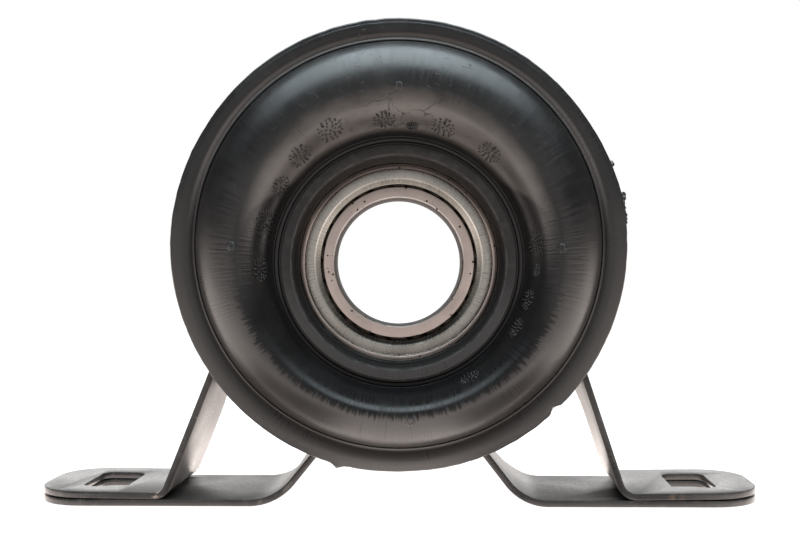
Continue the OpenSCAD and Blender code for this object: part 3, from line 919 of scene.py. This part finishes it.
def round_rectangle(x, width, length, radius):
    w, d = width / 2, length / 2
    return rounded([(x - w, -d, radius), (x + w, -d, radius), (x + w, d, radius), (x - w, d, radius)], 10)


def add_cut(obj, cutter, operation):
    cut = obj.modifiers.new("cut", "BOOLEAN")
    cut.operation = operation
    cut.object = cutter
    cut.solver = "EXACT"


def add_bevel(obj):
    edge = obj.modifiers.new("edge", "BEVEL")
    edge.width = STRAP_BEVEL * MM
    edge.segments = 2
    edge.limit_method = "ANGLE"
    edge.angle_limit = math.radians(35)
    edge.harden_normals = False


def apply_modifiers(obj):
    evaluated = obj.evaluated_get(bpy.context.evaluated_depsgraph_get())
    mesh = bpy.data.meshes.new_from_object(evaluated)
    obj.modifiers.clear()
    obj.data = mesh


def skew(obj, top, bottom):
    """Sets the rear edge over to the right below the ring, as the strap was bent out of square."""
    for vert in obj.data.vertices:
        t = clamped((top * MM - vert.co.z) / ((top - bottom) * MM))
        vert.co.x += STRAP_SKEW * t * t * (3 - 2 * t) * (vert.co.y + STRAP_Y * MM)


def make_strap(name, outline, node, skew_top, skew_bottom):
    obj = prism(name, outline, "Y", -STRAP_Y, STRAP_Y)
    below = FOOT_Z - 5
    plan = prism("plan", round_rectangle(0, FOOT_REACH * 2, STRAP_Y * 2, FOOT_CORNER), "Z", below, 80)
    slots = [prism("slot", round_rectangle(x, SLOT_W, SLOT_L, SLOT_CORNER), "Z", below, FOOT_Z + 8)
             for x in (-SLOT_X, SLOT_X)]
    add_cut(obj, plan, "INTERSECT")
    for slot in slots:
        add_cut(obj, slot, "DIFFERENCE")
    add_bevel(obj)
    apply_modifiers(obj)
    for cutter in [plan] + slots:
        bpy.data.objects.remove(cutter)
    skew(obj, skew_top, skew_bottom)
    smooth(obj, 24)
    dress(obj, PAINT, "strap_paint", "housing", node)


UPPER_OUTLINE = strap_outline(upper_side(wrap=30.3, lean=18.4, foot_bend=3.2),
                              upper_side(wrap=30, lean=21.4, foot_bend=2.2))
LOWER_OUTLINE = strap_outline(lower_side(cradle=18.9, rise=52, rise_bend=11),
                              lower_side(cradle=18.1, rise=51, rise_bend=12))
make_strap("upper_strap_sheet", UPPER_OUTLINE, "upper_strap", skew_top=-22, skew_bottom=-38)
make_strap("lower_strap_sheet", LOWER_OUTLINE, "lower_strap", skew_top=-46.6, skew_bottom=-53.5)


# Ball bearing and its sleeve

def groove(middle, shoulder_r):
    """Ball groove about an angle of 0 (outer ring, rear to front) or 180 (inner ring, front to rear)."""
    half = math.degrees(math.acos(abs(shoulder_r - PITCH_R) / RACE_R))
    return circle_arc((PITCH_R, 0), RACE_R, middle + half, middle - half, 16)


def outer_ring_section():
    step_y = FACE_Y - SHIELD_RECESS - SHIELD_RIM
    return rounded(
        [(SEAT_R, -FACE_Y, 0.12), (BEARING_R, -FACE_Y, 0.8), (BEARING_R, FACE_Y, 0.8),
         (SEAT_R, FACE_Y, 0.12), (SEAT_R, step_y), (OUTER_SHOULDER_R, step_y)]
        + groove(0, OUTER_SHOULDER_R)
        + [(OUTER_SHOULDER_R, -step_y), (SEAT_R, -step_y)])


def inner_ring_section():
    chamfer_r, chamfer_y = BORE_R + BORE_CHAMFER, FACE_Y - BORE_CHAMFER
    return rounded(
        [(BORE_R, chamfer_y, 0.08), (chamfer_r, FACE_Y, 0.08), (INNER_SHOULDER_R, FACE_Y, 0.1)]
        + groove(180, INNER_SHOULDER_R)[::-1]
        + [(INNER_SHOULDER_R, -FACE_Y, 0.1), (chamfer_r, -FACE_Y, 0.08), (BORE_R, -chamfer_y, 0.08)])


def shield_section(side):
    """Pressed sheet behind the front face (side -1) or the rear face (side 1)."""
    top, dip = SHIELD_RECESS, SHIELD_RECESS + SHIELD_DIP
    low, rim_end = dip + SHIELD_LIP, SHIELD_RECESS + SHIELD_RIM - GAP
    in_r, out_r = SHIELD_IN_R + SHIELD_T, SHIELD_R - SHIELD_T
    sheet = rounded(
        [(SHIELD_R, rim_end), (SHIELD_R, top, 0.3), (SHIELD_CONE_R, top, 0.35), (SHIELD_IN_R, dip, 0.2),
         (SHIELD_IN_R, low), (in_r, low), (in_r, dip + SHIELD_T), (SHIELD_CONE_R, top + SHIELD_T),
         (out_r, top + SHIELD_T), (out_r, rim_end)])
    return [(r, side * (FACE_Y - depth)) for r, depth in sheet]


def sleeve_section():
    return rounded(
        [(SLEEVE_IN_R, SLEEVE_FRONT_Y, 0.3), (SLEEVE_R, SLEEVE_FRONT_Y, 0.2), (SLEEVE_R, SLEEVE_REAR_Y, 0.6),
         (STOP_R, SLEEVE_REAR_Y, 0.3), (STOP_R, STOP_Y, 0.2), (SLEEVE_IN_R, STOP_Y)])


dress(lathe("outer_ring_ground", outer_ring_section()), RING_STEEL, "ring_steel", "housing", "outer_ring")
dress(lathe("inner_ring_ground", inner_ring_section()), RING_STEEL, "ring_steel", "inner_ring", "inner_ring")
for shield_side, shield_node in ((-1, "front_shield"), (1, "rear_shield")):
    shield = lathe(shield_node + "_pressing", shield_section(shield_side))
    dress(shield, SHIELD_STEEL, "shield_steel", "housing", shield_node)
sleeve = lathe("bearing_sleeve_drawn", sleeve_section())
dress(sleeve, SLEEVE_STEEL, "sleeve_steel", "housing", "bearing_sleeve")

for cad_node, cad_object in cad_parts.items():
    if cad_node.startswith("ball"):
        set_material(cad_object, BALL_STEEL)
    elif cad_node.startswith("cage"):
        set_material(cad_object, CAGE_STEEL)


# Studio, in metres apart from the shader's places

FLOOR_HALF = 2.0
FLOOR_DROP = 0.0002
FLOOR_GLOW = 3.1
FEET_SHADE = 2.8
SLOT_SHADE = 0.6
SOFTBOX_COLOUR = (0.82, 0.945, 1.0)
SOFTBOX_DEPTH = 0.56
SOFTBOX_Y = -0.20
CAMERA_PLACE = (0.0003, -0.290, -0.001)
CAMERA_ROLL = math.radians(-0.16)


def floor_material():
    """Table that is white to the camera, apart from a shade under the slots. In reflections it glows under
    and beside the object, less behind it, and least in front of the feet and ahead of the object's middle."""
    s = Shader("white_table", Base_Color=(0.3, 0.3, 0.3, 1), Roughness=1.0)
    x, y, z = s.split(s.point)
    aside = s.magnitude(x)
    feet = s.product(s.band(aside, 30, 65, 18), s.ramp(y, -80, -50), s.fall(y, -24, -15))
    slots = s.product(s.band(aside, SLOT_X - 5.7, SLOT_X + 6, 1.5), s.band(y, -12.5, 12.5, 2))
    ahead = s.ramp(aside, 40, 110, 0.15, 0.75)
    spread = s.product(s.ramp(y, -600, -200, 0.35, 1.0), s.ramp(y, -105, -78, ahead, 1.0),
                       s.ramp(y, 20, 100, 1.0, 0.45))
    white = s.light("ShaderNodeEmission", (1, 1, 1, 1), s.minus(1.0, s.product(slots, SLOT_SHADE)))
    glow = s.light("ShaderNodeEmission", (1, 0.90, 0.85, 1),
                   s.product(spread, s.minus(FLOOR_GLOW, s.product(feet, FEET_SHADE))))
    lit = s.add("ShaderNodeAddShader")
    s.put_all(lit.inputs, white, s.surface.outputs[0])
    s.put(s.tree.nodes["Material Output"].inputs["Surface"], s.pick(lit.outputs[0], glow))
    return s.material


def make_floor():
    mesh = bpy.data.meshes.new("floor")
    h, z = FLOOR_HALF, FOOT_Z * MM - FLOOR_DROP
    mesh.from_pydata([(-h, -h, z), (h, -h, z), (h, h, z), (-h, h, z)], [], [(0, 1, 2, 3)])
    mesh.materials.append(floor_material())
    add_object("floor", mesh)


def make_world():
    """White to the camera. In reflections bright behind the object, dim behind the camera, else dark."""
    world = bpy.data.worlds.new("studio")
    bpy.context.scene.world = world
    world.use_nodes = True
    world.node_tree.nodes.clear()
    n = Nodes(world.node_tree)
    x, y, z = n.split(n.add("ShaderNodeTexCoord").outputs["Generated"])
    behind_object = n.ramp(y, 0.72, 0.92, 0.05, 2.0)
    behind_camera = n.product(n.ramp(y, -0.97, -0.75, 0.85, 0.0), n.ramp(z, 0.02, 0.16, 1.0, 0.3))
    room = n.light("ShaderNodeBackground", (1, 0.98, 0.96, 1), n.sum(behind_object, behind_camera))
    white = n.light("ShaderNodeBackground", (1, 1, 1, 1), 1.0)
    n.put(n.add("ShaderNodeOutputWorld").inputs["Surface"], n.pick(white, room))


def make_softbox(name, height, width, radiance):
    """Area light that faces straight down in front of the object."""
    light = bpy.data.lights.new(name, "AREA")
    light.shape = "RECTANGLE"
    light.size = width
    light.size_y = SOFTBOX_DEPTH
    light.energy = radiance * math.pi * width * SOFTBOX_DEPTH
    light.color = SOFTBOX_COLOUR
    obj = add_object(name, light)
    obj.location = (0, SOFTBOX_Y, height)


def make_camera():
    camera = add_object("camera", bpy.data.cameras.new("camera"))
    camera.data.sensor_width = 36
    camera.data.lens = 54
    camera.data.clip_start = 0.01
    camera.location = CAMERA_PLACE
    camera.rotation_euler = (math.pi / 2, CAMERA_ROLL, 0)
    bpy.context.scene.camera = camera


make_floor()
make_world()
make_softbox("overhead_softbox", 0.50, 0.8, 4.4)
make_softbox("overhead_core", 0.49, 0.32, 3.6)
make_camera()
bpy.context.scene.view_settings.view_transform = "Standard"
